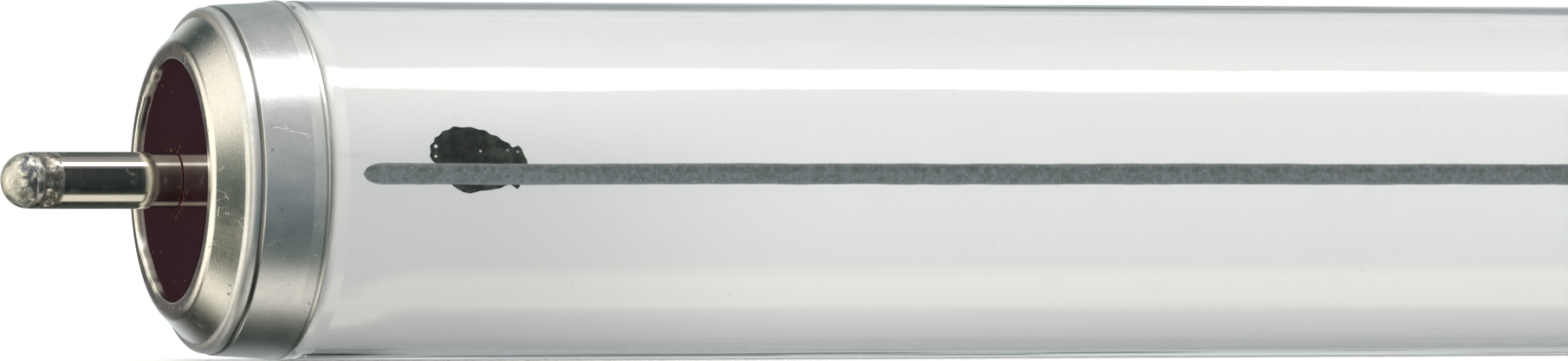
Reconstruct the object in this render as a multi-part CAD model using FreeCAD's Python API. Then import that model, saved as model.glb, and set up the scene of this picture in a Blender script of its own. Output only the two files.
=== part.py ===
import FreeCAD, Part
import math
import os

# Fluorescent lamp, 38 mm glass, one thick pin at each end, ignition strip inside the glass.
#
# The lamp lies along X with its origin at its middle, on its axis, and +Z up.
# The end with the dark contact patch points to -X.  The strip and the patch face -Y.
#
# All sizes are millimetres.  A station is a distance inwards from the flat front of a cap.
# A profile is a list of corners (station, radius, rounding), revolved about the lamp's axis.

# Lamp
TUBE_DIAMETER = 38.0
FACE_TO_FACE = 574.0            # from the front of one cap to the front of the other

# Cap shell, drawn from sheet.  Each drop is a step inwards in radius.
SHEET = 0.35
CAP_LENGTH = 11.7               # front to rim
RIM_PROUD = 0.05                # rim's outside beyond the glass
FLARE_LENGTH = 1.8              # the rim widens over this length
FLARE_DROP = 0.25
SKIRT_DROP = 0.27               # taper of the skirt, from the flare to the bead
BEAD_DROP = 0.22                # shallow waist behind the shoulder
WAIST_LENGTH = 0.5
SHOULDER_ROUND = 1.05           # radius of the shoulder's rounding
CONE_FOOT = 2.85                # station where the cone meets the shoulder
CONE_DROP = 2.8                 # how much the cone narrows
LIP_WIDTH = 1.55                # flat front, from the cone to the hole
LIP_TURN_IN = 0.55              # the hole's edge is turned in on the disc
LIP_ROUND = 0.45
CORNER_ROUND = 0.6

# Insulator disc
INSULATOR_THICKNESS = 3.0
INSULATOR_BACK_DIAMETER = 33.2
SEAT_CLEARANCE = 0.05           # disc to shell

# Contact pin
PIN_DIAMETER = 6.0
PIN_LENGTH = 18.5               # from the cap's front to the nose
PIN_BORE = 4.0
SHANK_DIAMETER = 5.0            # the part that goes through the disc
CLINCH_DIAMETER = 8.0           # its end, flared over the washer
CLINCH_THICKNESS = 0.5
DENT_DEPTH = 0.35               # crimp dents behind the nose
DENT_RADIUS = 1.0
DENT_BACK = 4.4                 # from the nose to the dents
DENTS = 4

# Solder, a round nose on the pin's end
SOLDER_PLUG = 2.6               # how deep it fills the bore

# Washer behind the disc
WASHER_DIAMETER = 12.0
WASHER_THICKNESS = 0.6

# Glass
GLASS_WALL = 0.8
NECK_DROP = 1.5                 # the glass is this much smaller under the cap
RIM_GAP = 0.5                   # from the cap's rim to where the glass starts to narrow
NECK_SLOPE = 1.0
NECK_ROUND = 0.8                # softens the edge next to the cap's rim
END_CLEARANCE = 0.8             # from the clinched pin to the end of the glass
END_ROUND = 2.4
MOUTH_DIAMETER = 21.0           # mouth of the re-entrant stem
FLARE_DEPTH = 5.0               # the stem's trumpet
STEM_DEPTH = 15.0               # from the end of the glass to the bottom of the well
STEM_WALL = 1.0
STEM_ROUND = 2.4
EXHAUST_DIAMETER = 4.4
EXHAUST_BORE = 2.4
EXHAUST_SET_BACK = 1.2          # sealed tip behind the end of the glass
EXHAUST_TAPER = 2.5
TIP_DIAMETER = 1.6
PINCH_HEIGHT = 9.0
PINCH_THICKNESS = 4.4
PINCH_ROUND = 1.2

# Lead wires, in a pair
WIRE_DIAMETER = 0.8
WIRE_CLEARANCE = 0.6            # wire to exhaust tube, and wire to stem
WIRE_PITCH_IN_PIN = 1.6
WIRE_IN_GLASS = 4.0             # length sealed in the pinch

# Coating, strip and patch on the inside of the glass
COAT_THICKNESS = 0.2
COAT_IN_NECK = 1.5              # how far it reaches into the neck
FILM_CLEARANCE = 0.06           # glass to strip, and glass to patch
STRIP_WIDTH = 2.5
STRIP_THICKNESS = 0.06
STRIP_START = 3.7               # from the cap's rim
STRIP_ANGLE = 2.3               # above level
PATCH_THICKNESS = 0.08
PATCH_START = 11.05             # from the cap's rim
PATCH_LENGTH = 10.75
PATCH_RISE = 4.8                # upper edge above the strip's middle
PATCH_FALL = 2.05               # lower edge below the strip's middle

TUBE_RADIUS = TUBE_DIAMETER / 2
BORE_RADIUS = TUBE_RADIUS - GLASS_WALL
FILM_RADIUS = BORE_RADIUS - FILM_CLEARANCE
HALF_LENGTH = FACE_TO_FACE / 2
PIN_RADIUS = PIN_DIAMETER / 2
WIRE_RADIUS = WIRE_DIAMETER / 2

# Stations of one end, worked out from the sizes above
DISC_FRONT = LIP_TURN_IN
DISC_BACK = DISC_FRONT + INSULATOR_THICKNESS
WASHER_BACK = DISC_BACK + WASHER_THICKNESS
CLINCH_BACK = WASHER_BACK + CLINCH_THICKNESS
GLASS_END = CLINCH_BACK + END_CLEARANCE
WELL = GLASS_END + STEM_DEPTH
PINCH_TOP = WELL + PINCH_HEIGHT
NOSE = -PIN_LENGTH
NOSE_FOOT = NOSE + PIN_RADIUS   # where the round nose meets the pin's side

# Radii of one end
EXHAUST_RADIUS = EXHAUST_DIAMETER / 2
WIRE_RADIUS_IN_STEM = EXHAUST_RADIUS + WIRE_CLEARANCE + WIRE_RADIUS
STEM_RADIUS = WIRE_RADIUS_IN_STEM + WIRE_RADIUS + WIRE_CLEARANCE

BIG = 10.0                      # overshoot of cutting tools
SMALLEST_ARC = 2.5              # smaller roundings are drawn as flat bevels
SMALLEST_BEVEL = 0.2            # and these are left sharp
WIDEST_BEVEL = math.radians(60) # a rounding that turns further gets several bevels


def point(station, radius):
    return FreeCAD.Vector(station, 0, radius)


def turn_between(before, corner, after):
    """Signed angle by which a path turns at a corner."""
    first = corner - before
    second = after - corner
    cross = first.z * second.x - first.x * second.z
    return math.atan2(cross, first.dot(second))


def reaches(corners, points):
    """How far each corner's rounding runs along its two sides, where two share what a run has."""
    wanted = [0.0] * len(points)
    for i in range(1, len(points) - 1):
        half_turn = abs(turn_between(*points[i - 1:i + 2])) / 2
        wanted[i] = corners[i][2] * math.tan(half_turn)
    kept = list(wanted)
    for i in range(len(points) - 1):
        room = (points[i + 1] - points[i]).Length
        both = wanted[i] + wanted[i + 1]
        if both > room:
            kept[i] = min(kept[i], wanted[i] * room / both)
            kept[i + 1] = min(kept[i + 1], wanted[i + 1] * room / both)
    return kept


def rounding_edges(before, corner, after, reach):
    """One rounded corner: a true arc from SMALLEST_ARC up, and chords of the arc below that."""
    turn = abs(turn_between(before, corner, after))
    to_before = (before - corner).normalize()
    to_after = (after - corner).normalize()
    radius = reach / math.tan(turn / 2)
    centre = corner + (to_before + to_after).normalize() * (radius / math.cos(turn / 2))
    start = corner + to_before * reach
    end = corner + to_after * reach

    def on_arc(share):
        towards = ((start - centre) * math.sin((1 - share) * turn) + (end - centre) * math.sin(share * turn))
        return centre + towards / math.sin(turn)

    if radius >= SMALLEST_ARC:
        return start, [Part.Arc(start, on_arc(0.5), end).toShape()], end
    bevels = math.ceil(turn / WIDEST_BEVEL)
    places = [on_arc(i / bevels) for i in range(bevels + 1)]
    return start, [Part.makeLine(*places[i:i + 2]) for i in range(bevels)], end


def rounded_path(corners):
    """Edges along the corners, each inner corner rounded as far as its two runs allow."""
    points = [point(station, radius) for station, radius, _ in corners]
    reach = reaches(corners, points)
    edges = []
    place = points[0]
    for i in range(1, len(points)):
        last = points[i]
        rounding, after = [], last
        if i < len(points) - 1 and reach[i] > 1e-4:
            last, rounding, after = rounding_edges(*points[i - 1:i + 2], reach[i])
        if (last - place).Length > 1e-4:
            edges.append(Part.makeLine(place, last))
        edges += rounding
        place = after
    return edges


def inset(corners, distance):
    """The corners of a parallel path, moved to the right of the way the path runs."""
    points = [point(station, radius) for station, radius, _ in corners]
    moved = []
    for i, (_, _, rounding) in enumerate(corners):
        normals = []
        if i > 0:
            run = (points[i] - points[i - 1]).normalize()
            normals.append(FreeCAD.Vector(run.z, 0, -run.x))
        if i < len(points) - 1:
            run = (points[i + 1] - points[i]).normalize()
            normals.append(FreeCAD.Vector(run.z, 0, -run.x))
        mitre = sum(normals, FreeCAD.Vector()) / len(normals)
        place = points[i] + mitre * (distance / mitre.dot(mitre))
        if 0 < i < len(points) - 1 and rounding > 0:
            turn = turn_between(points[i - 1], points[i], points[i + 1])
            rounding -= math.copysign(distance, turn)
            if rounding < SMALLEST_BEVEL:
                rounding = 0
        moved.append((place.x, place.z, rounding))
    return moved


def revolved(edges):
    """A solid of revolution from the edges of a closed profile."""
    face = Part.Face(Part.Wire(edges))
    return face.revolve(FreeCAD.Vector(), FreeCAD.Vector(1, 0, 0), 360)


def joined(*paths):
    """Closes paths of corners into one profile and revolves it."""
    edges = []
    for i, path in enumerate(paths):
        edges += rounded_path(path)
        last = point(*path[-1][:2])
        first = point(*paths[(i + 1) % len(paths)][0][:2])
        if (last - first).Length > 1e-7:
            edges.append(Part.makeLine(last, first))
    return revolved(edges)


def drum(radius, start, end):
    """A cylinder on the lamp's axis."""
    return Part.makeCylinder(radius, end - start, FreeCAD.Vector(start, 0, 0), FreeCAD.Vector(1, 0, 0))


def cap_outside():
    """Outer profile of the cap, from the edge of the hole to the rim."""
    rim = TUBE_RADIUS + RIM_PROUD
    skirt_rear = rim - FLARE_DROP
    skirt_front = skirt_rear - SKIRT_DROP
    waist = skirt_front - BEAD_DROP
    cone_foot = waist - SHOULDER_ROUND
    face = cone_foot - CONE_DROP
    hole = face - LIP_WIDTH
    shoulder_end = CONE_FOOT + SHOULDER_ROUND
    return [
        (LIP_TURN_IN, hole, 0),
        (0, hole, LIP_ROUND),
        (0, face, CORNER_ROUND),
        (CONE_FOOT, cone_foot, 0),
        (CONE_FOOT, waist, SHOULDER_ROUND),
        (shoulder_end + WAIST_LENGTH, waist, 0),
        (shoulder_end + 2 * WAIST_LENGTH, skirt_front, 0),
        (CAP_LENGTH - FLARE_LENGTH, skirt_rear, 0),
        (CAP_LENGTH, rim, 0),
    ]


def cap_inside(clearance=0.0):
    """Solid that fills the cap's hollow, less a clearance, from its front to its rim."""
    path = inset(cap_outside(), SHEET + clearance)
    front, _, _ = path[0]
    rim, _, _ = path[-1]
    return joined(path, [(rim, 0, 0), (front, 0, 0)])


def cap_shell():
    outside = cap_outside()
    inside = inset(outside, SHEET)
    return joined(outside, inside[::-1])


def insulator():
    """Disc behind the lip.  Its rim follows the cone, and its hole takes the pin's shank."""
    blank = drum(INSULATOR_BACK_DIAMETER / 2, DISC_FRONT, DISC_BACK)
    hole = drum(SHANK_DIAMETER / 2, DISC_FRONT - BIG, DISC_BACK + BIG)
    return blank.common(cap_inside(SEAT_CLEARANCE)).cut(hole).removeSplitter()


def washer():
    blank = drum(WASHER_DIAMETER / 2, DISC_BACK, WASHER_BACK)
    return blank.cut(drum(SHANK_DIAMETER / 2, DISC_BACK - BIG, WASHER_BACK + BIG))


def pin():
    """Hollow pin: dented nose end, shoulder on the disc, shank clinched over the washer."""
    outside = [
        (NOSE_FOOT, 0, 0),
        (NOSE_FOOT, PIN_RADIUS, 0),
        (DISC_FRONT, PIN_RADIUS, 0),
        (DISC_FRONT, SHANK_DIAMETER / 2, 0),
        (WASHER_BACK, SHANK_DIAMETER / 2, 0),
        (WASHER_BACK, CLINCH_DIAMETER / 2, 0),
        (CLINCH_BACK, CLINCH_DIAMETER / 2, 0),
        (CLINCH_BACK, 0, 0),
    ]
    shape = joined(outside).cut(drum(PIN_BORE / 2, NOSE - BIG, CLINCH_BACK + BIG))
    reach = PIN_RADIUS - DENT_DEPTH + DENT_RADIUS
    for i in range(DENTS):
        dent = Part.makeCylinder(DENT_RADIUS, 2 * BIG, FreeCAD.Vector(NOSE + DENT_BACK, -BIG, reach))
        dent.rotate(FreeCAD.Vector(NOSE + DENT_BACK, -BIG, reach), FreeCAD.Vector(1, 0, 0), -90)
        dent.rotate(FreeCAD.Vector(), FreeCAD.Vector(1, 0, 0), 360 * i / DENTS)
        shape = shape.cut(dent)
    return shape


def solder():
    """Round nose on the end of the pin, with a plug that fills the bore round the wires."""
    blob = joined([
        (NOSE, 0, 0),
        (NOSE, PIN_RADIUS, PIN_RADIUS),
        (NOSE_FOOT, PIN_RADIUS, 0),
        (NOSE_FOOT, PIN_BORE / 2, 0),
        (NOSE_FOOT + SOLDER_PLUG, PIN_BORE / 2, 0),
        (NOSE_FOOT + SOLDER_PLUG, 0, 0),
    ])
    return blob.cut(wires())


def wire_path():
    """Corner list of one lead wire, from the pinch to the pin's nose."""
    near = WIRE_PITCH_IN_PIN / 2
    bend_out = GLASS_END + EXHAUST_SET_BACK
    bend_in = CLINCH_BACK
    return [
        (WELL + WIRE_IN_GLASS, WIRE_RADIUS_IN_STEM, 0),
        (bend_out, WIRE_RADIUS_IN_STEM, 0),
        (bend_in, near, 0),
        (NOSE_FOOT, near, 0),
    ]


def wires():
    """The pair of lead wires, one above and one below the exhaust tube."""
    path = Part.Wire(rounded_path(wire_path()))
    start = point(WELL + WIRE_IN_GLASS, WIRE_RADIUS_IN_STEM)
    section = Part.Wire(Part.makeCircle(WIRE_RADIUS, start, FreeCAD.Vector(1, 0, 0)))
    wire = path.makePipeShell([section], True, False)
    turned = wire.copy()
    turned.rotate(FreeCAD.Vector(), FreeCAD.Vector(1, 0, 0), 180)
    return Part.makeCompound([wire, turned])


def glass_end_outside():
    """Outer skin of one end of the glass, from the exhaust tip to the full tube."""
    neck = TUBE_RADIUS - NECK_DROP
    tip = GLASS_END + EXHAUST_SET_BACK
    narrow = CAP_LENGTH + RIM_GAP - NECK_SLOPE
    return [
        (tip, 0, 0),
        (tip, TIP_DIAMETER / 2, 0),
        (tip + EXHAUST_TAPER, EXHAUST_RADIUS, 0),
        (WELL, EXHAUST_RADIUS, 0),
        (WELL, STEM_RADIUS, 0),
        (GLASS_END + FLARE_DEPTH, STEM_RADIUS, STEM_ROUND),
        (GLASS_END, MOUTH_DIAMETER / 2, END_ROUND),
        (GLASS_END, neck, END_ROUND),
        (narrow, neck, 0),
        (narrow + NECK_SLOPE, TUBE_RADIUS, NECK_ROUND),
    ]


def glass_end_inside():
    """Hollow of one end of the glass, from the axis to the full bore, round the stem."""
    outside = glass_end_outside()
    stem = inset(outside[4:6], STEM_WALL)
    wall = inset(outside[6:] + [(HALF_LENGTH, TUBE_RADIUS, 0)], GLASS_WALL)[:-1]
    return [(WELL + STEM_WALL, 0, 0), (WELL + STEM_WALL, stem[0][1], 0), stem[1][:2] + (STEM_ROUND,)] + wall


def mirrored(corners):
    """The same corners at the far end of the lamp, in the opposite order."""
    return [(FACE_TO_FACE - station, radius, rounding) for station, radius, rounding in corners[::-1]]


def pinch():
    """Flat press that seals the stem, with soft edges."""
    width = 2 * (STEM_RADIUS + STEM_WALL)
    corner = FreeCAD.Vector(WELL, -PINCH_THICKNESS / 2, -width / 2)
    block = Part.makeBox(PINCH_HEIGHT, PINCH_THICKNESS, width, corner)
    rounding = min(PINCH_ROUND, 0.4 * PINCH_THICKNESS)
    along = [edge for edge in block.Edges if abs(edge.tangentAt(edge.FirstParameter).x) > 0.5]
    return block.makeFillet(rounding, along)


def at_both_ends(shape):
    """The solids of a shape at the front end and, turned about Z, at the far end."""
    far = shape.copy()
    far.rotate(FreeCAD.Vector(HALF_LENGTH, 0, 0), FreeCAD.Vector(0, 0, 1), 180)
    return shape.Solids + far.Solids


def glass():
    """The sealed bulb: one piece of glass from exhaust tip to exhaust tip."""
    outside = glass_end_outside()
    inside = glass_end_inside()
    solid = joined(outside + mirrored(outside))
    hollow = joined(inside + mirrored(inside))
    bore_start = GLASS_END + EXHAUST_SET_BACK + EXHAUST_TAPER
    bore = drum(EXHAUST_BORE / 2, bore_start, PINCH_TOP + BIG)
    for part in at_both_ends(pinch()):
        hollow = hollow.cut(part)
    hollow = hollow.fuse(at_both_ends(bore))
    return solid.cut(hollow).cut(at_both_ends(wires()))


def sleeve(outer, thickness, start, end):
    return drum(outer, start, end).cut(drum(outer - thickness, start - BIG, end + BIG))


def strip_outline():
    """Flat slot shape of the strip, pushed through the near wall of the tube."""
    middle = BORE_RADIUS * math.sin(math.radians(STRIP_ANGLE))
    half = STRIP_WIDTH / 2
    first = CAP_LENGTH + STRIP_START + half
    last = FACE_TO_FACE - first
    low, high = middle - half, middle + half

    def at(station, height):
        return FreeCAD.Vector(station, -TUBE_RADIUS, height)

    edges = [
        Part.makeLine(at(first, high), at(last, high)),
        Part.Arc(at(last, high), at(last + half, middle), at(last, low)).toShape(),
        Part.makeLine(at(last, low), at(first, low)),
        Part.Arc(at(first, low), at(first - half, middle), at(first, high)).toShape(),
    ]
    return Part.Face(Part.Wire(edges)).extrude(FreeCAD.Vector(0, TUBE_RADIUS, 0))


def patch_outline():
    """Blotch round the strip's start: a closed curve, pushed through the near wall."""
    middle = BORE_RADIUS * math.sin(math.radians(STRIP_ANGLE))
    start = CAP_LENGTH + PATCH_START
    shares = [
        (0.00, 0.38), (0.05, 0.73), (0.17, 0.93), (0.31, 1.00), (0.50, 0.97), (0.69, 0.81),
        (0.83, 0.59), (0.93, 0.57), (1.00, 0.23), (0.96, -0.20), (0.89, -0.78), (0.80, -0.55),
        (0.62, -0.84), (0.39, -1.00), (0.25, -0.65), (0.10, 0.08),
    ]
    places = []
    for along, up in shares:
        height = middle + up * (PATCH_RISE if up > 0 else PATCH_FALL)
        places.append(FreeCAD.Vector(start + along * PATCH_LENGTH, -TUBE_RADIUS, height))
    curve = Part.BSplineCurve()
    curve.interpolate(places, PeriodicFlag=True)
    return Part.Face(Part.Wire(curve.toShape())).extrude(FreeCAD.Vector(0, TUBE_RADIUS, 0))


def strip():
    return strip_outline().common(sleeve(FILM_RADIUS, STRIP_THICKNESS, 0, FACE_TO_FACE))


def strip_pocket():
    """Room that the strip takes from what lies behind it."""
    thick = sleeve(FILM_RADIUS + BIG, STRIP_THICKNESS + BIG, 0, FACE_TO_FACE)
    return strip_outline().common(thick)


def patch():
    whole = patch_outline().common(sleeve(FILM_RADIUS, PATCH_THICKNESS, 0, FACE_TO_FACE))
    return whole.cut(strip_pocket())


def coating():
    """White coat on the inside of the glass, from neck to neck, with room for strip and patch."""
    shoulder = glass_end_inside()[-2:]
    path = [(shoulder[0][0] - COAT_IN_NECK, shoulder[0][1], 0)] + shoulder
    path += mirrored(path)
    whole = joined(path, inset(path, COAT_THICKNESS)[::-1])
    pocket = patch_outline().common(sleeve(FILM_RADIUS + BIG, PATCH_THICKNESS + BIG, 0, FACE_TO_FACE))
    return whole.cut(strip_pocket()).cut(pocket)


def cement():
    """Ring between the cap and the straight neck of the glass."""
    start = GLASS_END + END_ROUND
    end = CAP_LENGTH + RIM_GAP - NECK_SLOPE
    neck = drum(TUBE_RADIUS - NECK_DROP, start - BIG, end + BIG)
    return drum(TUBE_RADIUS + BIG, start, end).common(cap_inside()).cut(neck)


def save(shape, name):
    """Puts the lamp's middle at the origin and writes one piece."""
    placed = shape.copy()
    placed.translate(FreeCAD.Vector(-HALF_LENGTH, 0, 0))
    placed.exportStep(f"parts/{name}.step")


def main():
    os.makedirs("parts", exist_ok=True)
    whole_length = {
        "glass_tube": glass(),
        "phosphor_coating": coating(),
        "ignition_strip": strip(),
        "contact_patch": patch(),
    }
    each_end = {
        "cap_shells": cap_shell(),
        "insulator_discs": insulator(),
        "contact_pins": pin(),
        "pin_solder": solder(),
        "rivet_washers": washer(),
        "lead_wires": wires(),
        "basing_cement": cement(),
    }
    for name, shape in whole_length.items():
        save(shape, name)
    for name, shape in each_end.items():
        save(Part.makeCompound(at_both_ends(shape)), name)


main()
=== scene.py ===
import math

import bmesh
import bpy
from mathutils import Matrix, Vector, noise


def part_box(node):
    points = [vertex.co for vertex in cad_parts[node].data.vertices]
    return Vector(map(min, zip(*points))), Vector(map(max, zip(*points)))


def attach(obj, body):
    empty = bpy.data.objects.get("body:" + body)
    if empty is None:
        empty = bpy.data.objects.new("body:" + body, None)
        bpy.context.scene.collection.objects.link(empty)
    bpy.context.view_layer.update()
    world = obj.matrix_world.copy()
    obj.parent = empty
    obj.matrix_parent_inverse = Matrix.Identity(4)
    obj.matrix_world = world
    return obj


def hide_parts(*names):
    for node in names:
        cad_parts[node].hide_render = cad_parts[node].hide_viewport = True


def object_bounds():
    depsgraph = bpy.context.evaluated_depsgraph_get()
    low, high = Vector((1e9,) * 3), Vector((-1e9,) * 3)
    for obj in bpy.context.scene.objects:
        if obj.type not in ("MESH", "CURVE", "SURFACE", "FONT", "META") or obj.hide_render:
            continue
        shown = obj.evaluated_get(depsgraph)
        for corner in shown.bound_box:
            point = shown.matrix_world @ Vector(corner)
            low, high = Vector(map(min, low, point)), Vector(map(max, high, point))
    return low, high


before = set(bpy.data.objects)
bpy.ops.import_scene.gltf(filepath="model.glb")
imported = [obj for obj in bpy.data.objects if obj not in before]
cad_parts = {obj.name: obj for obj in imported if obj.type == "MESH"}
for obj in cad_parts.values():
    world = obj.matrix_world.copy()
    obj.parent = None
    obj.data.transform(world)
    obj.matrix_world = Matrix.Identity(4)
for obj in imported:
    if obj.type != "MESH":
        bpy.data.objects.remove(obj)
cad_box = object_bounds()

# The lamp lies along X.  Stations are millimetres inwards from the flat front of the left cap,
# and a corner of an outline is (station, radius, rounding) in millimetres.
MM = 0.001
FACE_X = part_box("cap_shells")[0].x
FACE_TO_FACE = -2 * FACE_X / MM
TUBE_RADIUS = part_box("glass_tube")[1].z / MM
FLOOR_Z = cad_box[0].z
FLOOR_REACH = 150.0             # metres, far enough that its edge is never seen
TURNS = 224                     # faces round a turned piece
FINE_TURNS = 96                 # and round a thin one
LONG_RUN = 0.5 * MM             # a run longer than this gets a support
SUPPORT = 0.03 * MM             # so far from each of its ends, which keeps its shading flat

# Glass
GLASS_WALL = 0.8
GLASS_END = 5.45
WELL = 20.45
STEM_RADIUS = 4.2
STEM_WALL = 1.0
PINCH = (9.0, 4.4, 10.4)
COAT_GAP = 0.02                 # between the glass and the powder
COAT_THICKNESS = 0.18
FILM_THICKNESS = 0.05

# Ignition strip and contact patch.  Angles are degrees above level, on the near side.
STRIP_START = 15.3
STRIP_MIDDLE = 2.15
STRIP_HALF = 3.45
STRIP_TIP = 1.5                 # length of its rounded tip
PATCH_OUTLINE = [
    (23.5, 5.1), (22.9, 6.6), (22.75, 9.0), (23.1, 12.5), (24.0, 15.3), (25.5, 17.6), (27.7, 17.4),
    (29.5, 15.7), (31.1, 12.8), (32.2, 10.6), (32.6, 11.5), (33.0, 9.3), (33.5, 5.8), (33.0, 2.0),
    (32.4, -2.7), (31.7, -1.0), (30.2, -2.7), (28.2, -3.5), (26.9, -4.2), (25.5, -2.4), (24.6, 1.0),
]
PINHOLES = [                    # (station, angle, reach, strength)
    (23.42, 11.2, 0.26, 1.0), (23.36, 7.9, 0.2, 1.0), (28.33, 9.6, 0.18, 0.8), (31.34, 9.9, 0.18, 0.45),
    (32.46, 9.4, 0.2, 0.5),
]

# Cap
SHEET = 0.35
RIM_RADIUS = 19.05
HOLE_RADIUS = 12.85
CAP_OUTSIDE = [
    (0.55, HOLE_RADIUS, 0), (0, HOLE_RADIUS, 0.3), (0, 14.46, 1.5), (2.85, 17.26, 0.12),
    (2.85, 18.31, 1.05), (4.3, 18.31, 0.25), (4.7, 18.53, 0.3), (9.9, 18.8, 1.2), (11.55, RIM_RADIUS, 0.3),
    (11.7, RIM_RADIUS, 0.1),
]
STAKED_BAND = 0.7               # width of the lip's inner edge that the stakes push in
STAKES = [                      # (angle, spread in degrees, how far it pushes the edge in)
    (123, 5, 0.34), (131, 4, 0.2), (141, 6, 0.22), (222, 6, 0.3), (230, 4, 0.22), (239, 5, 0.3),
    (35, 7, 0.1), (-48, 8, 0.12),
]
DISC_FRONT = 0.55
DISC_BACK = 3.55

# Pin
PIN_RADIUS = 3.0
PIN_NOSE = -18.5
NOSE_FOOT = -15.5
SHANK_RADIUS = 2.5
CLINCH_RADIUS = 4.0
SOLDER_DEPTH = 2.6
CRIMP = -14.1                   # middle of the four dents behind the nose
CRIMP_BAR = 1.0                 # radius of the bar that pressed each of them
CRIMP_REACH = 3.65              # where its axis stopped, from the pin's axis


def place(station, radius, angle=math.pi / 2):
    """Point on the lamp; an angle of zero faces -Y and a quarter turn faces up."""
    return Vector((
        station * MM + FACE_X, -radius * MM * math.cos(angle), radius * MM * math.sin(angle),
    ))


def mirrored(corners):
    """The same corners at the far end of the lamp, in the opposite order."""
    return [(FACE_TO_FACE - station, radius, rounding) for station, radius, rounding in corners[::-1]]


def inset(corners, wall):
    """The corners of a parallel outline, a wall's thickness towards the axis side of the way it runs."""
    points = [Vector((station, radius)) for station, radius, _ in corners]
    moved = []
    for i, (_, _, rounding) in enumerate(corners):
        runs = [(points[j + 1] - points[j]).normalized() for j in (i - 1, i) if 0 <= j < len(points) - 1]
        mitre = sum((Vector((run.y, -run.x)) for run in runs), Vector((0, 0))) / len(runs)
        spot = points[i] + mitre * (wall / mitre.dot(mitre))
        moved.append((spot.x, spot.y, rounding))
    return moved


def rounded_wire(corners, closed):
    """A wire along the corners, each rounded by its own amount."""
    mesh = bmesh.new()
    verts = [mesh.verts.new(place(station, radius)) for station, radius, _ in corners]
    pairs = list(zip(verts, verts[1:]))
    if closed:
        pairs.append((verts[-1], verts[0]))
    for pair in pairs:
        mesh.edges.new(pair)
    reach = {}
    for vert, (_, _, rounding) in zip(verts, corners):
        sides = [edge.other_vert(vert).co - vert.co for edge in vert.link_edges]
        turn = math.pi - sides[0].angle(sides[1]) if len(sides) == 2 else 0
        reach[vert] = rounding * MM * math.tan(turn / 2)
    for first, second in pairs:
        over = (reach[first] + reach[second]) / ((first.co - second.co).length * 0.99)
        if over > 1:
            reach[first] /= over
            reach[second] /= over
    for vert, (_, _, rounding) in zip(verts, corners):
        if reach[vert] > 1e-6:
            bmesh.ops.bevel(mesh, geom=[vert], offset=reach[vert], offset_type="OFFSET", affect="VERTICES",
                            segments=max(3, min(14, int(rounding * 8))), profile=0.5, material=-1)
    for edge in [edge for edge in mesh.edges if edge.calc_length() > LONG_RUN]:
        first, second = edge.verts
        share = SUPPORT / edge.calc_length()
        rest, _ = bmesh.utils.edge_split(edge, first, share)
        rest = edge if second in edge.verts else rest
        bmesh.utils.edge_split(rest, second, share)
    return mesh


def turned(corners, turns=TURNS, closed=True):
    """A closed skin turned about the lamp's axis, facing outwards."""
    mesh = rounded_wire(corners, closed)
    bmesh.ops.spin(mesh, geom=mesh.verts[:] + mesh.edges[:], cent=(0, 0, 0), axis=(1, 0, 0), dvec=(0, 0, 0),
                   angle=2 * math.pi, steps=turns, use_merge=True)
    bmesh.ops.remove_doubles(mesh, verts=mesh.verts, dist=1e-7)
    bmesh.ops.dissolve_degenerate(mesh, edges=mesh.edges, dist=1e-8)
    bmesh.ops.recalc_face_normals(mesh, faces=mesh.faces)
    return mesh


def add(mesh, other):
    """Joins another bmesh to this one."""
    spare = bpy.data.meshes.new("spare")
    other.to_mesh(spare)
    other.free()
    mesh.from_mesh(spare)
    bpy.data.meshes.remove(spare)


def both_ends(mesh):
    """Adds a copy of the left end's skin, turned about Z, at the right end."""
    far = mesh.copy()
    bmesh.ops.rotate(far, cent=(0, 0, 0), matrix=Matrix.Rotation(math.pi, 3, "Z"), verts=far.verts)
    add(mesh, far)


def piece(name, mesh, node, material, sharp=35):
    """Makes the object of a finished piece, which rides on the lamp and stands for its node."""
    data = bpy.data.meshes.new(name)
    mesh.to_mesh(data)
    mesh.free()
    data.polygons.foreach_set("use_smooth", [True] * len(data.polygons))
    data.set_sharp_from_angle(angle=math.radians(sharp))
    data.materials.append(material)
    thing = bpy.data.objects.new(name, data)
    bpy.context.scene.collection.objects.link(thing)
    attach(thing, "root")
    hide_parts(node)
    return thing


class Field:
    """A value or colour over a surface.  Sums on it add Math nodes."""

    def __init__(self, finish, socket):
        self.finish = finish
        self.socket = socket

    def math(self, operation, *values):
        return self.finish.node("ShaderNodeMath", {"operation": operation}, dict(enumerate(values)))

    def __add__(self, other):
        return self.math("ADD", self, other)

    def __radd__(self, other):
        return self.math("ADD", other, self)

    def __sub__(self, other):
        return self.math("SUBTRACT", self, other)

    def __rsub__(self, other):
        return self.math("SUBTRACT", other, self)

    def __mul__(self, other):
        return self.math("MULTIPLY", self, other)

    def __rmul__(self, other):
        return self.math("MULTIPLY", other, self)

    def __truediv__(self, other):
        return self.math("DIVIDE", self, other)

    def __rtruediv__(self, other):
        return self.math("DIVIDE", other, self)

    def __pow__(self, other):
        return self.math("POWER", self, other)

    def __gt__(self, other):
        return self.math("GREATER_THAN", self, other)

    def __lt__(self, other):
        return self.math("LESS_THAN", self, other)

    def __neg__(self):
        return self.math("MULTIPLY", self, -1.0)

    def __abs__(self):
        return self.math("ABSOLUTE", self)

    def least(self, other):
        return self.math("MINIMUM", self, other)

    def most(self, other):
        return self.math("MAXIMUM", self, other)

    def between(self, low, high):
        """Goes smoothly from 0 at low to 1 at high, or the other way where low is the larger."""
        if low > high:
            return 1 - self.between(high, low)
        values = {"Value": self, "From Min": low, "From Max": high, "To Min": 0.0, "To Max": 1.0}
        return self.finish.node("ShaderNodeMapRange", {"interpolation_type": "SMOOTHSTEP"}, values)


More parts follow.
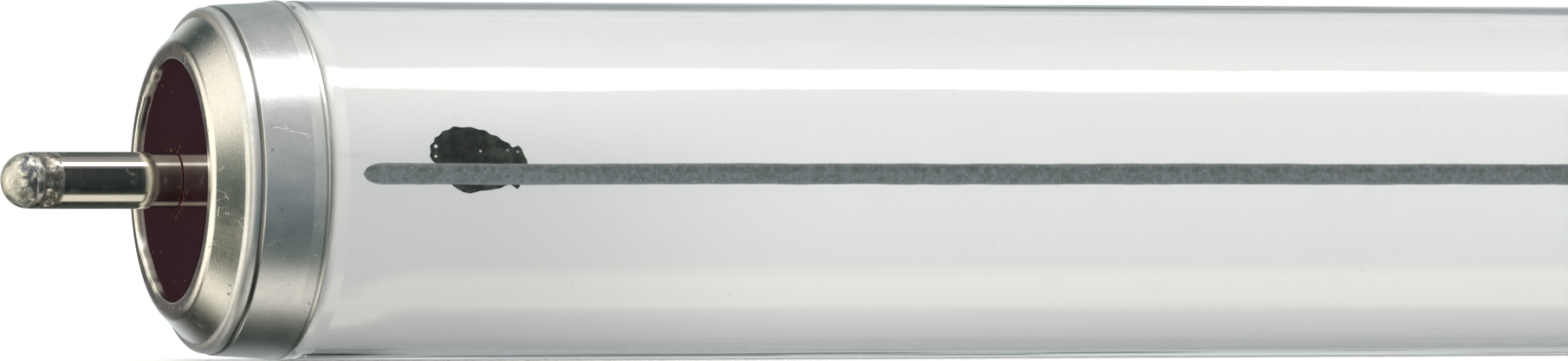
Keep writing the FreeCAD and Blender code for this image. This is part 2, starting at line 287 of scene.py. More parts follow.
class Finish:
    """A material or a world, made node by node."""

    def __init__(self, owner):
        owner.use_nodes = True
        self.tree = owner.node_tree

    def node(self, kind, settings=None, values=None, output=0):
        """Adds a node: its settings first, then the values or links of its sockets."""
        made = self.tree.nodes.new(kind)
        for key, value in (settings or {}).items():
            if key == "stops":
                self.set_stops(made.color_ramp.elements, value)
            else:
                setattr(made, key, value)
        for key, value in (values or {}).items():
            if isinstance(value, Field):
                self.tree.links.new(value.socket, made.inputs[key])
            else:
                made.inputs[key].default_value = value
        return Field(self, made.outputs[output]) if len(made.outputs) else made

    def set_stops(self, elements, stops):
        while len(elements) < len(stops):
            elements.new(1.0)
        for element, (position, colour) in zip(elements, stops):
            element.position = position
            element.color = (*colour, 1.0)

    def ramp(self, field, stops):
        return self.node("ShaderNodeValToRGB", {"stops": stops}, {"Fac": field})

    def blend(self, share, first, second, how="MIX"):
        """Mixes two colours: all of the first where share is 0."""
        first, second = (value if isinstance(value, Field) else (*value, 1.0) for value in (first, second))
        return self.node("ShaderNodeMix", {"data_type": "RGBA", "blend_type": how},
                         {0: share, 6: first, 7: second}, output=2)

    def vector(self, x, y, z):
        return self.node("ShaderNodeCombineXYZ", values={"X": x, "Y": y, "Z": z})

    def grain(self, where, scale, detail=3.0, rough=0.55, distortion=0.0):
        """Noise between 0 and 1, mostly near 0.5."""
        values = {"Vector": where, "Scale": scale, "Detail": detail, "Roughness": rough,
                  "Distortion": distortion}
        return self.node("ShaderNodeTexNoise", values=values)

    def cells(self, where, scale, feature="F1", output="Distance"):
        values = {"Vector": where, "Scale": scale}
        return self.node("ShaderNodeTexVoronoi", {"feature": feature}, values, output=output)

    def dots(self, where, scale, reach, core, share):
        """1 at the core of scattered dots, falling to 0 at reach.  A share of the cells has one."""
        drawn = self.cells(where, scale, output="Color")
        number = self.node("ShaderNodeSeparateColor", values={"Color": drawn})
        return self.cells(where, scale).between(reach, core) * (number > 1 - share)


class Surface(Finish):
    """A Principled material with the lamp's own coordinates, in millimetres."""

    def __init__(self, name, **constants):
        material = bpy.data.materials.new(name)
        super().__init__(material)
        self.material = material
        self.shader = self.tree.nodes["Principled BSDF"]
        for key, value in constants.items():
            self.shader.inputs[key.replace("_", " ")].default_value = value
        self.spot = self.node("ShaderNodeTexCoord", output="Object")
        x, y, z = (self.part(name) / MM for name in "XYZ")
        self.x, self.y, self.z = x, y, z
        self.radius = (y * y + z * z) ** 0.5
        self.angle = x.math("ARCTAN2", z, -y)
        self.station = x - FACE_X / MM
        self.from_end = FACE_TO_FACE / 2 - abs(x)
        self.where = self.vector(x, y, z)

    def part(self, name):
        return self.node("ShaderNodeSeparateXYZ", values={"Vector": self.spot}, output=name)

    def feed(self, **fields):
        for key, field in fields.items():
            self.tree.links.new(field.socket, self.shader.inputs[key.replace("_", " ")])

    def bump(self, height, strength, distance, after=None):
        values = {"Strength": strength, "Distance": distance * MM, "Height": height}
        if after is not None:
            values["Normal"] = after
        return self.node("ShaderNodeBump", values=values)

    def near(self, station, degrees, reach, radius=TUBE_RADIUS):
        """1 at a spot on the near side of the lamp, falling to 0 at reach, in millimetres."""
        along = self.station - station
        up = (self.angle - math.radians(degrees)) * radius
        return ((along * along + up * up) ** 0.5).between(reach, reach * 0.35)


def clear_glass():
    """Clear soda-lime glass, very slightly wavy, as drawn tube is."""
    look = Surface("clear_glass", Base_Color=(0.985, 0.995, 0.99, 1), Roughness=0.0, IOR=1.5,
                   Transmission_Weight=1.0)
    drawn = look.grain(look.vector(look.x * 0.012, look.y * 0.2, look.z * 0.2), 1.0, 2.0)
    look.feed(Normal=look.bump(drawn, 0.12, 0.5))
    return look.material


def white_powder():
    """Baked white powder, blotchy, greyer by the caps and darker low down by them with painted shade, with a
    few grains and a smear.
    """
    look = Surface("white_powder", Roughness=0.9)
    cloud = look.grain(look.where, 0.06, 4.0)
    fine = look.grain(look.where, 1.6, 3.0)
    tone = 0.35 + cloud * 0.4 + fine * 0.18
    colour = look.blend(tone, (0.91, 0.91, 0.895), (0.965, 0.965, 0.955))
    end = look.from_end.between(34, 11)
    colour = look.blend(end * 0.3, colour, (0.84, 0.84, 0.825))
    # Painted shade: the lower half of the powder is darker towards each cap.
    low_end_shade = look.from_end.between(70, 24) * look.angle.between(0.5, 0.0)
    colour = look.blend(low_end_shade * 0.55, colour, (0.60, 0.605, 0.60))
    specks = look.dots(look.where, 0.28, 0.075, 0.03, 0.45)
    colour = look.blend(specks * 0.22, colour, (0.55, 0.56, 0.56))
    smear = look.station.between(11.5, 14.0) * look.station.between(17.2, 15.2)
    smear = smear * abs(look.angle - math.radians(8.0)).between(0.028, 0.01)
    colour = look.blend(smear * 0.16, colour, (0.5, 0.51, 0.52))
    look.feed(Base_Color=colour)
    return look.material


def strip_paint():
    """Silver grey conducting paint: mottled, darker in the middle, paler and thinner at its edges."""
    look = Surface("strip_paint", Roughness=0.62)
    across = (look.angle - math.radians(STRIP_MIDDLE)) / math.radians(STRIP_HALF)
    mottle = look.grain(look.where, 1.9, 4.0, 0.65)
    fine = look.grain(look.where, 5.0, 2.0)
    dark_line = abs(across - 0.42 - (look.grain(look.vector(look.x * 0.15, 0.0, 0.0), 1.0) - 0.5) * 0.7)
    broken = look.grain(look.vector(look.x * 0.7, 3.0, 0.0), 1.0).between(0.4, 0.62)
    streak = dark_line.between(0.42, 0.05) * broken
    tone = 0.5 + (mottle - 0.5) * 2.6 + (fine - 0.5) * 1.6
    colour = look.blend(tone, (0.12, 0.142, 0.142), (0.25, 0.275, 0.285))
    colour = look.blend(streak * 0.7, colour, (0.085, 0.105, 0.10))
    edge = abs(across).between(0.66, 0.98)
    colour = look.blend(edge * 0.45, colour, (0.31, 0.34, 0.345))
    crumbs = look.cells(look.vector(look.x, look.angle * TUBE_RADIUS, 0.0), 0.8)
    colour = look.blend(crumbs.between(0.12, 0.05) * 0.5, colour, (0.5, 0.52, 0.52))
    look.feed(Base_Color=colour, Normal=look.bump(mottle, 0.3, 0.03))
    return look.material


def patch_paint():
    """Dark resistive paint with pinholes."""
    look = Surface("patch_paint", Roughness=0.7)
    mottle = look.grain(look.where, 0.9, 4.0, 0.6)
    deep = look.near(26.6, 10.0, 3.6)
    colour = look.blend(mottle.between(0.38, 0.62), (0.016, 0.022, 0.019), (0.055, 0.06, 0.05))
    colour = look.blend(deep * 0.55, colour, (0.010, 0.012, 0.012))
    for station, degrees, size, share in PINHOLES:
        colour = look.blend(look.near(station, degrees, size) * share, colour, (0.85, 0.85, 0.83))
    look.feed(Base_Color=colour)
    return look.material


def cap_metal():
    """Drawn aluminium, hazy, with fine draw lines, handling scratches, stains and a few nicks; a painted warm
    reflection on its front, painted shade in the waist, a painted dark reflection on the rim's flare and a
    painted highlight along the rim's edge.
    """
    look = Surface("cap_metal", Metallic=1.0)
    around = look.angle * RIM_RADIUS
    sleeve = look.vector(look.x, around, look.radius)
    lines = look.grain(look.vector(look.x * 9.0, around * 0.25, look.radius * 9.0), 1.0, 2.0)
    cloud = look.grain(sleeve, 0.22, 5.0, 0.62, 0.5)
    haze = look.grain(sleeve, 1.1, 4.0, 0.6)
    grit = look.grain(sleeve, 7.0, 2.0)
    # Painted warm reflection: the lip and cone are tinted warm. The same mask also makes them a little
    # smoother.
    front = look.from_end.between(3.4, 2.2)
    colour = look.blend(cloud.between(0.3, 0.7), (0.69, 0.70, 0.71), (0.82, 0.82, 0.82))
    colour = look.blend(front * 0.75, colour, (0.83, 0.79, 0.71))
    colour = look.blend(haze.between(0.55, 0.8) * 0.25, colour, (0.55, 0.55, 0.55))
    colour = look.blend(grit.between(0.5, 0.64) * 0.3, colour, (0.45, 0.46, 0.46))
    scratch_way = look.vector(look.x * 0.9 + around * 0.35, around * 0.9 - look.x * 0.3, 0.0)
    scratch = look.cells(scratch_way, 0.7, "DISTANCE_TO_EDGE").between(0.012, 0.0)
    scratch = scratch * look.grain(sleeve, 0.5).between(0.52, 0.66)
    colour = look.blend(scratch * 0.3, colour, (0.95, 0.95, 0.95))
    pits = look.dots(sleeve, 0.75, 0.16, 0.08, 0.38)
    colour = look.blend(pits * 0.35, colour, (0.25, 0.26, 0.27))
    # Painted shade: a near-black line in the step between the bead and the skirt.
    waist_shade = look.from_end.between(4.1, 4.25) * look.from_end.between(4.7, 4.5)
    # Painted reflection: a dark band on the rim's flare, where it mirrors a dark room.
    flare_dark_reflection = look.from_end.between(11.05, 11.2) * look.from_end.between(11.4, 11.3)
    flare_dark_reflection = flare_dark_reflection * look.radius.between(18.6, 18.8)
    colour = look.blend(waist_shade * 0.88 + flare_dark_reflection * 0.5, colour, (0.07, 0.07, 0.065))
    # Painted highlight: a bright cream line along the rim's edge.
    colour = look.blend(look.from_end.between(11.35, 11.5) * 0.5, colour, (0.98, 0.95, 0.87))
    bead = look.from_end.between(2.7, 3.0) * look.from_end.between(4.1, 3.9)
    rough = 0.22 + cloud * 0.09 + haze * 0.05 - front * 0.09 + bead * 0.14
    normal = look.bump(lines, 0.18, 0.03)
    normal = look.bump(grit, 0.45, 0.03, normal)
    normal = look.bump(1 - pits - scratch * 0.5, 0.35, 0.05, normal)
    look.feed(Base_Color=colour, Roughness=rough, Normal=normal)
    return look.material


def dark_moulding():
    """Glossy dark maroon thermoset with dust and a few orange scuffs near the pin."""
    look = Surface("dark_moulding", IOR=1.55)
    cloud = look.grain(look.where, 0.35, 3.0)
    colour = look.blend(cloud, (0.018, 0.0050, 0.0076), (0.028, 0.0080, 0.0118))
    dust = look.dots(look.vector(look.y, look.z, 0.0), 0.62, 0.085, 0.02, 0.5)
    colour = look.blend(dust * 0.5, colour, (0.36, 0.24, 0.17))
    scuff_grain = look.grain(look.vector(look.x * 2.0, look.y * 2.6, look.z * 1.1), 1.0, 4.0)
    scuff = look.radius.between(5.2, 3.6) * scuff_grain.between(0.56, 0.68)
    colour = look.blend(scuff * 0.6, colour, (0.30, 0.085, 0.03))
    rough = 0.045 + dust * 0.4 + scuff * 0.3 + cloud * 0.03
    wave = look.grain(look.where, 0.12, 2.0)
    look.feed(Base_Color=colour, Roughness=rough, Normal=look.bump(wave, 0.2, 0.12))
    return look.material


def pin_plating():
    """Polished nickel plate, scuffed, with a dirty collar behind the soldered nose and a painted warm
    reflection of the disc at its base.
    """
    look = Surface("pin_plating", Metallic=1.0)
    out = -look.from_end
    around = look.angle * PIN_RADIUS
    sleeve = look.vector(look.x, around, 0.0)
    mottle = look.grain(sleeve, 1.2, 5.0, 0.65, 0.6)
    collar = out.between(12.4, 12.8) * out.between(14.9, 14.5)
    wetted = out.between(14.4, 14.8)
    dirt = collar * mottle.between(0.36, 0.56)
    stains = look.grain(sleeve, 0.55, 4.0).between(0.58, 0.7)
    # Painted reflection: the pin is browner near its base, where it mirrors the maroon disc.
    base_warm_reflection = out.between(1.6, 0.4)
    colour = look.blend(mottle, (0.66, 0.62, 0.56), (0.76, 0.73, 0.67))
    colour = look.blend(stains * 0.3, colour, (0.42, 0.38, 0.32))
    colour = look.blend(dirt * 0.85, colour, (0.06, 0.05, 0.04))
    colour = look.blend(wetted * mottle.between(0.6, 0.42) * 0.8, colour, (0.16, 0.175, 0.18))
    colour = look.blend(base_warm_reflection * 0.3, colour, (0.42, 0.33, 0.24))
    lines = look.grain(look.vector(look.x * 8.0, around * 0.6, 0.0), 1.0, 2.0)
    rough = 0.06 + stains * 0.10 + dirt * 0.4 + wetted * 0.2 + lines * 0.03
    normal = look.bump(lines, 0.015, 0.02)
    normal = look.bump(mottle, collar.most(wetted) * 0.5 + 0.005, 0.10, normal)
    look.feed(Base_Color=colour, Roughness=rough, Normal=normal)
    return look.material


def tin_solder():
    """Wiped tin solder: lumpy, bright where it was rubbed, with dark flux in the hollows."""
    look = Surface("tin_solder", Metallic=1.0)
    lumps = look.grain(look.where, 0.75, 4.0, 0.6, 0.8)
    fine = look.grain(look.where, 4.0, 3.0, 0.6)
    behind = look.from_end.between(-17.6, -16.8)
    flux = lumps.between(0.62, 0.42) * (0.15 + behind * 0.85) + fine.between(0.62, 0.72) * 0.3
    colour = look.blend(fine, (0.70, 0.67, 0.59), (0.86, 0.83, 0.74))
    colour = look.blend(flux.least(1.0), colour, (0.13, 0.145, 0.155))
    rough = 0.24 + fine * 0.22 + flux * 0.15
    normal = look.bump(lumps, 0.55, 0.35)
    normal = look.bump(fine, 0.35, 0.06, normal)
    look.feed(Base_Color=colour, Roughness=rough, Normal=normal)
    return look.material


def hidden_finish(name, low, high, scale, **constants):
    """Finish of a piece inside the cap: two tones of its colour and a fine bump."""
    look = Surface(name, **constants)
    mottle = look.grain(look.where, scale, 4.0)
    look.feed(Base_Color=look.blend(mottle, low, high), Normal=look.bump(mottle, 0.3, 0.05))
    return look.material


def glass_tube(material):
    """The bulb, one piece: its outer skin from exhaust tip to exhaust tip, and the hollow inside."""
    shoulder = [(11.2, 17.5, 0.6), (12.1, 18.84, 1.0), (13.6, TUBE_RADIUS, 6.0)]
    supports = [(15.0, TUBE_RADIUS, 0), (20.0, TUBE_RADIUS, 0)]
    outer = [
        (GLASS_END + 1.2, 0, 0), (GLASS_END + 1.2, 0.8, 0.5), (GLASS_END + 3.7, 2.2, 1.0), (WELL, 2.2, 0.3),
        (WELL, STEM_RADIUS, 0.6), (GLASS_END + 5, STEM_RADIUS, 5.0), (GLASS_END, 10.5, 2.4),
        (GLASS_END, 17.5, 2.4),
    ] + shoulder + supports
    wall = inset([(GLASS_END, 10.5, 1.6), (GLASS_END, 17.5, 1.6)] + shoulder + supports, GLASS_WALL)
    inner = [
        (WELL + STEM_WALL, 0, 0), (WELL + STEM_WALL, STEM_RADIUS + STEM_WALL, 0.8),
        (GLASS_END + 5, STEM_RADIUS + STEM_WALL, 4.0),
    ] + wall
    bulb = turned(outer + mirrored(outer), closed=False)
    hollow = turned(inner + mirrored(inner), closed=False)
    bmesh.ops.reverse_faces(hollow, faces=hollow.faces)
    add(bulb, hollow)
    return piece("bulb", bulb, "glass_tube", material)


def pinches(material):
    """The flat presses that seal the stems, with soft edges."""
    length, thick, high = PINCH
    press = bmesh.new()
    bmesh.ops.create_cube(press, size=1.0)
    bmesh.ops.scale(press, vec=(length * MM, thick * MM, high * MM), verts=press.verts)
    middle = place(WELL + STEM_WALL + length / 2, 0)
    bmesh.ops.translate(press, vec=middle, verts=press.verts)
    bmesh.ops.bevel(press, geom=press.edges[:], offset=1.2 * MM, offset_type="OFFSET", affect="EDGES",
                    segments=4, profile=0.5, material=-1)
    both_ends(press)
    return piece("stem_presses", press, "glass_tube", material)


def coating(material):
    """The powder on the inside of the glass, from neck to neck."""
    skin = inset([(9.4, 17.5, 0), (11.2, 17.5, 1.4), (12.1, 18.84, 1.0), (13.6, TUBE_RADIUS, 6.0),
                  (15.0, TUBE_RADIUS, 0), (20.0, TUBE_RADIUS, 0)], GLASS_WALL + COAT_GAP)
    outer = skin + mirrored(skin)
    inner = inset(outer, COAT_THICKNESS)
    return piece("white_coat", turned(outer + inner[::-1]), "phosphor_coating", material)


def wobble(along, across, size):
    """Smooth value that wanders between -1 and 1, the same in each run."""
    return noise.noise(Vector((along / size, across, 0.37)))


def film(name, node, columns, rows, shape, radius, material):
    """A thin film on the inside of the glass: a grid whose spots are placed by shape(u, v)."""
    mesh = bmesh.new()
    bmesh.ops.create_grid(mesh, x_segments=columns, y_segments=rows, size=0.5)
    for vert in mesh.verts:
        station, degrees = shape(vert.co.x + 0.5, vert.co.y * 2)
        vert.co = place(station, radius, math.radians(degrees))
    bmesh.ops.remove_doubles(mesh, verts=mesh.verts, dist=1e-7)
    bmesh.ops.dissolve_degenerate(mesh, edges=mesh.edges, dist=1e-8)
    bmesh.ops.recalc_face_normals(mesh, faces=mesh.faces)
    if sum(face.normal.y for face in mesh.faces) > 0:
        bmesh.ops.reverse_faces(mesh, faces=mesh.faces)
    back = bmesh.ops.extrude_face_region(mesh, geom=mesh.faces[:])["geom"]
    for vert in (item for item in back if isinstance(item, bmesh.types.BMVert)):
        vert.co.y *= 1 - FILM_THICKNESS / radius
        vert.co.z *= 1 - FILM_THICKNESS / radius
    bmesh.ops.recalc_face_normals(mesh, faces=mesh.faces)
    return piece(name, mesh, node, material)


def ignition_strip(material):
    """The long stripe: hand-wiped edges and a blunt rounded tip at each end."""
    length = FACE_TO_FACE - 2 * STRIP_START

    def shape(u, v):
        along = u * length
        tip = min(along, length - along) / (STRIP_TIP + 0.9)
        half = STRIP_HALF * math.sqrt(max(0.0, 1 - max(0.0, 1 - tip) ** 2))
        edge = 1 + 0.04 * wobble(along, 3 * v, 2.1) + 0.035 * wobble(along, 5 * v, 9.0)
        drift = 0.22 * wobble(along, 0.0, 17.0) + 0.1 * wobble(along, 1.0, 5.0)
        return STRIP_START + along, STRIP_MIDDLE + drift + v * half * edge

    return film("grey_stripe", "ignition_strip", 1300, 8, shape, TUBE_RADIUS - GLASS_WALL - 0.006,
                material)


def smooth_loop(points, share):
    """Place at a share of the way round a smooth closed curve through the points."""
    at = share * len(points)
    i = int(at) % len(points)
    t = at - int(at)
    a, b, c, d = (Vector(points[(i + k) % len(points)]) for k in (-1, 0, 1, 2))
    square, cube = 2 * a - 5 * b + 4 * c - d, 3 * b - a - 3 * c + d
    return 0.5 * ((2 * b) + (c - a) * t + square * t * t + cube * t ** 3)


def contact_patch(material):
    """The blotch round the strip's start, with a scalloped edge."""
    middle = Vector((28.0, 6.0))

    def shape(u, v):
        out = (v + 1) / 2
        edge = smooth_loop(PATCH_OUTLINE, u) - middle
        scallop = 1 + 0.022 * math.sin(u * 2 * math.pi * 26) * max(0.0, math.cos((u - 0.3) * 2 * math.pi))
        ragged = 1 + 0.018 * wobble(u * 60, 2.0, 1.0)
        spot = middle + edge * out * scallop * ragged
        return spot.x, spot.y

    return film("dark_blotch", "contact_patch", 320, 12, shape, TUBE_RADIUS - GLASS_WALL - 0.012,
                material)


def cap_shells(material):
    """Both caps: drawn sheet with a cone, a shoulder bead and a flared rim, staked over the disc."""
    inside = inset(CAP_OUTSIDE, SHEET)
    shell = turned(CAP_OUTSIDE + inside[::-1])
    for vert in shell.verts:
        radius = math.hypot(vert.co.y, vert.co.z) / MM
        depth = (vert.co.x - FACE_X) / MM
        if radius < HOLE_RADIUS + STAKED_BAND and depth < SHEET + DISC_FRONT:
            degrees = math.degrees(math.atan2(vert.co.z, -vert.co.y)) % 360
            push = 0.03 * noise.noise(Vector((degrees / 7, 0.0, 4.0)))
            for middle, width, size in STAKES:
                away = (degrees - middle + 180) % 360 - 180
                push += size * math.exp(-(away / width) ** 2)
            share = min(1.0, (HOLE_RADIUS + STAKED_BAND - radius) / 0.5)
            vert.co.y *= 1 - push * share / radius
            vert.co.z *= 1 - push * share / radius
    both_ends(shell)
    return piece("caps", shell, "cap_shells", material)


def insulator_discs(material):
    outline = [
        (DISC_FRONT, SHANK_RADIUS, 0), (DISC_FRONT, 13.2, 0.1), (DISC_FRONT + 0.3, 14.1, 0.1),
        (DISC_BACK - 0.4, 16.5, 0.1), (DISC_BACK, 16.5, 0.2), (DISC_BACK, SHANK_RADIUS, 0),
    ]
    disc = turned(outline)
    both_ends(disc)
    return piece("discs", disc, "insulator_discs", material)


def contact_pins(material):
    """Hollow pins with crimp dents behind the nose, clinched over a washer at the back."""
    rings = [(CRIMP - CRIMP_BAR + 0.1 * i, PIN_RADIUS, 0) for i in range(21)]
    outline = [(NOSE_FOOT, 2.0, 0), (NOSE_FOOT, PIN_RADIUS, 0.12)] + rings + [
        (DISC_FRONT - 0.05, PIN_RADIUS, 0.08), (DISC_FRONT - 0.05, SHANK_RADIUS, 0), (4.15, SHANK_RADIUS, 0),
        (4.15, CLINCH_RADIUS, 0.15), (4.65, CLINCH_RADIUS, 0.2), (4.65, 2.0, 0),
    ]
    mesh = turned(outline, FINE_TURNS)
    for vert in mesh.verts:
        away = (vert.co.x - FACE_X) / MM - CRIMP
        if abs(away) < CRIMP_BAR:
            bottom = (CRIMP_REACH - math.sqrt(CRIMP_BAR ** 2 - away ** 2)) * MM
            for way in (Vector((0, y, z)).normalized() for y in (-1, 1) for z in (-1, 1)):
                vert.co -= way * max(0.0, vert.co.dot(way) - bottom)
    both_ends(mesh)
    return piece("pins", mesh, "contact_pins", material)


def solder_noses(material):
    """Round soldered noses, not quite even."""
    outline = [
        (PIN_NOSE, 0, 0), (PIN_NOSE, PIN_RADIUS - 0.02, PIN_RADIUS - 0.05),
        (NOSE_FOOT, PIN_RADIUS - 0.02, 0.1), (NOSE_FOOT, 2.0, 0),
        (NOSE_FOOT + SOLDER_DEPTH, 1.98, 0), (NOSE_FOOT + SOLDER_DEPTH, 0, 0),
    ]
    nose = turned(outline, FINE_TURNS, closed=False)
    for vert in nose.verts:
        if (vert.co.x - FACE_X) / MM < NOSE_FOOT:
            lump = noise.noise(vert.co / MM * 0.45) * 0.09
            inwards = Vector((0.0, -vert.co.y, -vert.co.z))
            vert.co += inwards * max(0.0, lump) / PIN_RADIUS
    both_ends(nose)
    return piece("noses", nose, "pin_solder", material)


def dress_hidden(node, material):
    """Gives a carried-over inner piece its finish."""
    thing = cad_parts[node]
    thing.data.materials.clear()
    thing.data.materials.append(material)


# What the lamp mirrors, by the angle in which a mirrored ray leaves when seen along the lamp's axis:
# 0 towards the camera's side, 90 up, 180 behind.  (Angle, red, green, blue)
# The glass and the pin look to the right, the skirt to the front and the cone to the left.
ROOM_RIGHT = [
    (-180, 0.90, 0.94, 0.98), (-166, 0.72, 0.76, 0.78), (-152, 0.46, 0.50, 0.49), (-141, 0.22, 0.25, 0.23),
    (-133, 0.04, 0.06, 0.05), (-112, 0.01, 0.02, 0.02), (-100, 0.015, 0.025, 0.02), (-94, 0.30, 0.31, 0.27),
    (-90, 1.02, 0.98, 0.86), (-80, 0.96, 0.92, 0.82), (-67, 1.08, 1.04, 0.92), (-62, 0.60, 0.59, 0.53),
    (-56, 0.07, 0.08, 0.07),
    (-40, 0.015, 0.025, 0.025), (25, 0.010, 0.018, 0.02), (48, 0.015, 0.025, 0.025), (58, 0.30, 0.30, 0.29),
    (79, 0.52, 0.52, 0.50), (100, 0.36, 0.37, 0.36), (112, 0.30, 0.32, 0.31), (121, 0.45, 0.47, 0.46),
    (134, 0.62, 0.64, 0.63), (143, 0.62, 0.64, 0.63), (150, 0.42, 0.45, 0.45), (158, 0.28, 0.31, 0.31),
    (166, 0.50, 0.54, 0.56), (174, 0.90, 0.94, 0.98), (180, 0.90, 0.94, 0.98),
]
ROOM_FRONT = [
    (-62, 0.60, 0.59, 0.53), (-54, 0.17, 0.22, 0.20), (-41, 0.12, 0.18, 0.19), (-29, 0.17, 0.21, 0.22),
    (-18, 0.29, 0.34, 0.35), (-6, 0.39, 0.44, 0.45), (5, 0.57, 0.62, 0.63), (16, 0.68, 0.71, 0.70),
    (28, 0.76, 0.78, 0.76), (40, 0.79, 0.80, 0.78), (79, 0.76, 0.76, 0.74), (95, 0.68, 0.68, 0.66),
    (103, 0.62, 0.63, 0.61), (113, 0.45, 0.46, 0.45), (124, 0.31, 0.35, 0.33), (138, 0.35, 0.40, 0.38),
    (149, 0.42, 0.48, 0.46), (166, 0.80, 0.85, 0.84), (180, 0.90, 0.94, 0.98),
]
ROOM_LEFT = [
    (-180, 0.04, 0.036, 0.038), (-160, 0.04, 0.04, 0.038), (-132, 0.03, 0.04, 0.035),
    (-125, 0.16, 0.17, 0.15),
    (-118, 1.20, 1.16, 1.02), (-103, 1.20, 1.16, 1.02), (-97, 0.12, 0.14, 0.12), (-90, 0.02, 0.04, 0.03),
    (-74, 0.01, 0.03, 0.02), (-58, 0.02, 0.04, 0.03), (-30, 0.04, 0.07, 0.055), (0, 0.06, 0.09, 0.08),
    (22, 0.11, 0.15, 0.13), (45, 0.34, 0.37, 0.32), (58, 0.84, 0.82, 0.74), (74, 1.20, 1.16, 1.06),
    (96, 1.25, 1.20, 1.09), (112, 1.20, 1.15, 1.04), (122, 0.85, 0.82, 0.75), (131, 0.12, 0.15, 0.15),
    (140, 0.03, 0.06, 0.06), (155, 0.03, 0.04, 0.04), (168, 0.04, 0.038, 0.038), (180, 0.040, 0.036, 0.038),
]
LAMP_BAND = (63.0, 77.5)        # angles of the bright strip lamp in the mirrored room


def mirrored_room(studio, x, y, z):
    """Colour of the room where a mirrored ray leaves in the direction x, y, z."""
    turn = x.math("ARCTAN2", z, -y) / (2 * math.pi) + 0.5

    # The lower bands dip where the glass meets the cap.
    dip = x.between(0.3215, 0.3145) * (x > 0.31) * (z < 0.0)
    turn = turn + dip * (20 / 360)

    def room(tones):
        return studio.ramp(turn, [(degrees / 360 + 0.5, tone) for degrees, *tone in tones])

    low, high = (degrees / 360 + 0.5 for degrees in LAMP_BAND)
    pin_edge = abs(turn - 0.5).between(0.30, 0.33) * x.between(0.286, 0.292) * x.between(0.308, 0.303)
    bands = studio.blend(pin_edge, room(ROOM_RIGHT), (0.07, 0.085, 0.075))
    front = turn.between(0.33, 0.345) * x.between(0.288, 0.262)
    bands = studio.blend(front, bands, room(ROOM_FRONT))
    bands = studio.blend(x.between(0.12, -0.28), bands, room(ROOM_LEFT))

    # A window that the cap's bends catch, with a gap where the disc mirrors the pin.
    gap = x.between(-0.42, -0.4) * x.between(-0.26, -0.28)
    window = (1 - gap) * x.between(-0.12, -0.3) * x.between(-0.86, -0.78)
    window = window * y.between(-0.2, -0.3) * abs(z).between(0.72, 0.6)
    window = window.most(x.between(-0.48, -0.62) * y.between(-0.16, 0.0) * abs(z).between(0.5, 0.38))
    bands = studio.blend(window, bands, (1.40, 1.34, 1.18))

    # The strip lamp, and a thin line of light below it at the right.
    lamp = turn.between(low - 0.002, low + 0.002) * turn.between(high + 0.002, high - 0.002)
    lamp = lamp * x.between(-0.7, -0.45)
    thin = turn.between(low - 0.0105, low - 0.0095) * turn.between(low - 0.001, low - 0.002)
    thin = thin * x.between(0.394, 0.398)
    return studio.blend(lamp.most(thin * 0.7), bands, (4.6, 4.6, 4.5))


def world_light():
    """White behind the lamp, a banded room in its reflections and an even fill on its colours."""
    world = bpy.data.worlds.new("studio")
    world.cycles.sampling_method = "NONE"
    bpy.context.scene.world = world
    studio = Finish(world)
    studio.tree.nodes.clear()
    way = studio.node("ShaderNodeTexCoord", output="Generated")
    x, y, z = (studio.node("ShaderNodeSeparateXYZ", values={"Vector": way}, output=name) for name in "XYZ")
    fill = studio.blend(z.between(-1.0, 1.0), (0.75, 0.75, 0.745), (1.50, 1.50, 1.50))
    fill = studio.blend((-y).between(-0.5, 1.0), fill, (1.68, 1.68, 1.67))
    path = {name: studio.node("ShaderNodeLightPath", output=name)
            for name in ("Is Camera Ray", "Is Glossy Ray", "Is Transmission Ray", "Diffuse Depth")}
    mirrored_ray = path["Is Glossy Ray"].most(path["Is Transmission Ray"]) * (path["Diffuse Depth"] < 0.5)
    colour = studio.blend(mirrored_ray, fill, mirrored_room(studio, x, y, z))
    colour = studio.blend(path["Is Camera Ray"], colour, (1.0, 1.0, 1.0))
    back = studio.node("ShaderNodeBackground", values={"Color": colour})
    studio.node("ShaderNodeOutputWorld", values={"Surface": back})


def strip_lamp():
    """One long soft strip lamp over the front of the tube.  The room shows it in reflections."""
    height, elevation, width, length = 1.0, math.radians(68.3), 0.27, 4.2
    data = bpy.data.lights.new("strip_lamp", "AREA")
    data.shape = "RECTANGLE"
    data.size = length
    data.size_y = width
    radiance = 0.9
    data.energy = radiance * math.pi * width * length
    lamp = bpy.data.objects.new("strip_lamp", data)
    spot = Vector((0.0, -height * math.cos(elevation), height * math.sin(elevation)))
    lamp.matrix_world = Matrix.Translation(spot) @ Matrix.Rotation(math.pi / 2 - elevation, 4, "X").inverted()
    lamp.visible_camera = False
    lamp.visible_glossy = False
    bpy.context.scene.collection.objects.link(lamp)


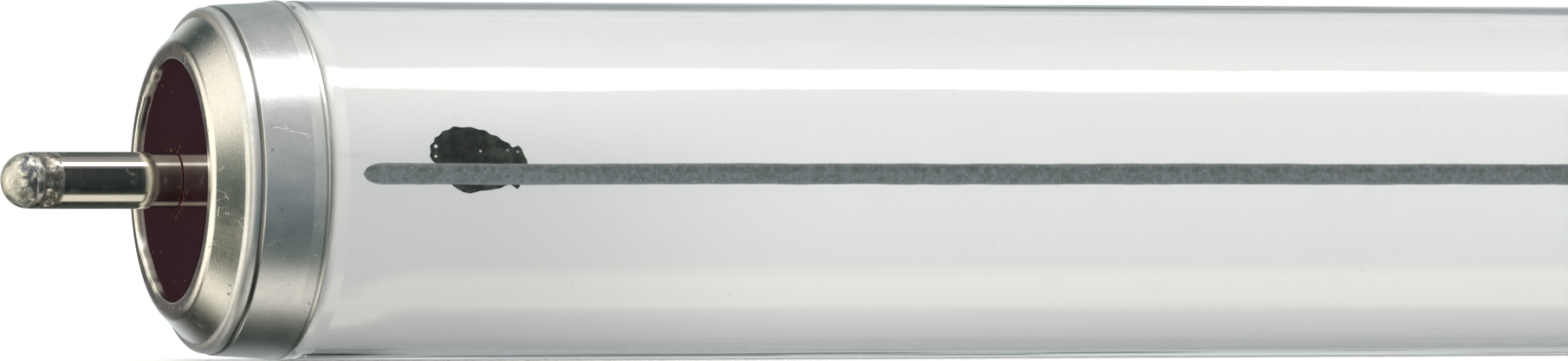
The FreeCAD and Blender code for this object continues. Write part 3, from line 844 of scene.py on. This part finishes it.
def floor():
    """Plain white floor that shows the lamp's shadow and keeps out of its reflections."""
    mesh = bmesh.new()
    bmesh.ops.create_grid(mesh, x_segments=1, y_segments=1, size=FLOOR_REACH)
    bmesh.ops.translate(mesh, vec=(0, 0, FLOOR_Z), verts=mesh.verts)
    data = bpy.data.meshes.new("floor")
    mesh.to_mesh(data)
    mesh.free()
    ground = bpy.data.objects.new("floor", data)
    bpy.context.scene.collection.objects.link(ground)
    for kind in ("diffuse", "glossy", "transmission", "shadow"):
        setattr(ground, "visible_" + kind, False)
    material = bpy.data.materials.new("floor_white")
    look = Finish(material)
    look.tree.nodes["Principled BSDF"].inputs["Base Color"].default_value = (0.93, 0.93, 0.92, 1.0)
    look.tree.nodes["Principled BSDF"].inputs["Roughness"].default_value = 0.9
    data.materials.append(material)


def camera():
    """Long lens, level with the lamp's axis, looking 20 degrees off square at the left end."""
    frame_width, focal_pixels = 1810, 15400
    data = bpy.data.cameras.new("camera")
    data.sensor_width = 36.0
    data.lens = data.sensor_width * focal_pixels / frame_width
    data.clip_start, data.clip_end = 0.05, 500.0
    eye = bpy.data.objects.new("camera", data)
    forward = Vector((0.3469, 0.9379, 0.0)).normalized()
    turn = forward.to_track_quat("-Z", "Y").to_matrix().to_4x4()
    eye.matrix_world = Matrix.Translation(Vector((-714.0, -1341.0, 0.0)) * MM) @ turn
    bpy.context.scene.collection.objects.link(eye)
    bpy.context.scene.camera = eye


def main():
    glass = clear_glass()
    glass_tube(glass)
    pinches(glass)
    coating(white_powder())
    ignition_strip(strip_paint())
    contact_patch(patch_paint())
    cap_shells(cap_metal())
    insulator_discs(dark_moulding())
    contact_pins(pin_plating())
    solder_noses(tin_solder())
    dress_hidden("rivet_washers", hidden_finish("washer_steel", (0.45, 0.45, 0.44), (0.6, 0.6, 0.58), 2.0,
                                                Metallic=1.0, Roughness=0.4))
    dress_hidden("lead_wires", hidden_finish("lead_wire", (0.5, 0.42, 0.32), (0.66, 0.58, 0.46), 3.0,
                                             Metallic=1.0, Roughness=0.35))
    dress_hidden("basing_cement", hidden_finish("cement", (0.40, 0.33, 0.25), (0.56, 0.48, 0.37), 0.8,
                                                Roughness=0.9))
    world_light()
    strip_lamp()
    floor()
    camera()
    bpy.context.scene.view_settings.view_transform = "Standard"


main()
